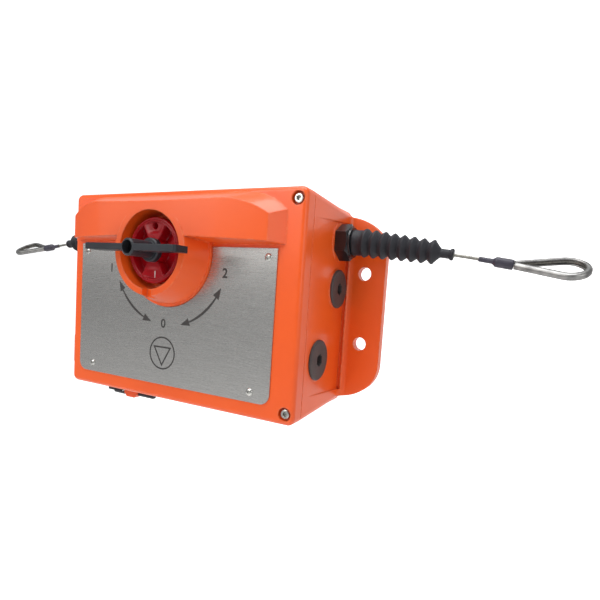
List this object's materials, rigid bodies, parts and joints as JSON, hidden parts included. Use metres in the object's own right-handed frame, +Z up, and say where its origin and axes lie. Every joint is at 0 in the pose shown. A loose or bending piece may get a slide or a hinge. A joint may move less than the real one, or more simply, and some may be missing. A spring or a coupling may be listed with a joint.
{
  "type": "rope pull switch",
  "caption": "Wall-mounted rope pull switch: a cast case with hinged front, a rack and pinion worked by ropes from both sides, and a front dial with a cross handle to reset it.",
  "frame": {"origin": "Middle of the four mounting holes, on the plane of the wall behind the case.", "axes": "+X to the right, +Y into the wall, +Z up; the dial faces -Y."},
  "size_m": [0.7368, 0.17, 0.2266],
  "materials": {
    "orange_paint": "semi-gloss powder coat",
    "label_plate": "brushed",
    "dial_plastic": "glossy",
    "handle_paint": "satin",
    "dark_rubber": "matt",
    "plug_plastic": "matt",
    "inner_plastic": "matt",
    "terminal_plastic": "matt",
    "gland_metal": "satin",
    "bronze": "turned",
    "sheet_steel": "zinc plated",
    "stainless": "turned",
    "spring_steel": "drawn",
    "wire_strands": "stranded",
    "sleeve_cover": "matt",
    "thimble_metal": "zinc plated"
  },
  "bodies": {
    "base": {"base_housing": "orange_paint", "cover_gasket": "dark_rubber", "rope_gland_left": "gland_metal", "rope_gland_right": "gland_metal", "gland_locknut_left": "gland_metal", "gland_locknut_right": "gland_metal", "rear_bush": "bronze", "bearing_bridge": "sheet_steel", "bridge_bush": "bronze", "bridge_screw_left": "stainless", "bridge_screw_right": "stainless", "rack_guide_left": "inner_plastic", "rack_guide_right": "inner_plastic", "contact_block_left": "inner_plastic", "contact_block_right": "inner_plastic", "mounting_plate": "sheet_steel", "terminal_block": "terminal_plastic", "earth_screw": "stainless", "blanking_plug_upper": "plug_plastic", "blanking_plug_lower": "plug_plastic", "lock_pin": "stainless", "tether_ring": "stainless", "hinge_pin_upper": "stainless", "hinge_pin_lower": "stainless", "bellows_left": "dark_rubber", "bellows_right": "dark_rubber", "centring_spring_left": "spring_steel", "centring_spring_right": "spring_steel"},
    "cover": {"front_cover": "orange_paint", "face_plate": "label_plate", "face_plate_screw_upper_left": "stainless", "face_plate_screw_upper_right": "stainless", "face_plate_screw_lower_left": "stainless", "face_plate_screw_lower_right": "stainless", "cover_screw_upper": "stainless", "cover_screw_lower": "stainless", "spindle_bush": "bronze", "spindle_seal": "dark_rubber"},
    "dial_assembly": {"dial": "dial_plastic", "dial_spindle": "stainless", "handle": "handle_paint", "handle_screw": "stainless"},
    "rotor": {"rotor_shaft": "stainless", "pinion": "sheet_steel", "cam_disc": "inner_plastic", "retaining_ring": "spring_steel"},
    "carriage": {"rack_bar": "sheet_steel", "pull_rod_left": "stainless", "pull_rod_right": "stainless", "wire_rope_left": "wire_strands", "wire_rope_right": "wire_strands", "eye_sleeve_left": "sleeve_cover", "eye_sleeve_right": "sleeve_cover", "rope_eye_left": "wire_strands", "rope_eye_right": "wire_strands", "thimble_left": "thimble_metal", "thimble_right": "thimble_metal"},
    "switch_slide": {"contact_slide": "terminal_plastic"}
  },
  "joints": [
    {"name": "cover_hinge", "type": "hinge", "parent": "base", "child": "cover", "pos_m": [-0.145, -0.1045, 0], "axis": [0, 0, -1], "range_deg": [0, 105]},
    {"name": "rack_slide", "type": "slide", "parent": "base", "child": "carriage", "axis": [1, 0, 0], "range_m": [-0.01675, 0.01675], "stiffness_N_per_m": 2000, "deforming": ["centring_spring_left", "centring_spring_right", "bellows_left", "bellows_right"]},
    {"name": "rotor_turn", "type": "hinge", "parent": "base", "child": "rotor", "pos_m": [0, -0.05, 0.0445], "axis": [0, -1, 0], "range_deg": [-60, 60]},
    {"name": "dial_turn", "type": "hinge", "parent": "cover", "child": "dial_assembly", "pos_m": [0, -0.12, 0.0445], "axis": [0, -1, 0], "range_deg": [-60, 60]},
    {"name": "switch_slide_lift", "type": "slide", "parent": "base", "child": "switch_slide", "axis": [0, 0, 1], "range_m": [-0.004, 0.004]}
  ],
  "couplings": [
    {"joint": "rotor_turn", "follows": "rack_slide", "rad_per_m": -62.5},
    {"joint": "dial_turn", "follows": "rack_slide", "rad_per_m": -62.5},
    {"joint": "switch_slide_lift", "follows": "rack_slide", "ratio": 0.23873}
  ]
}
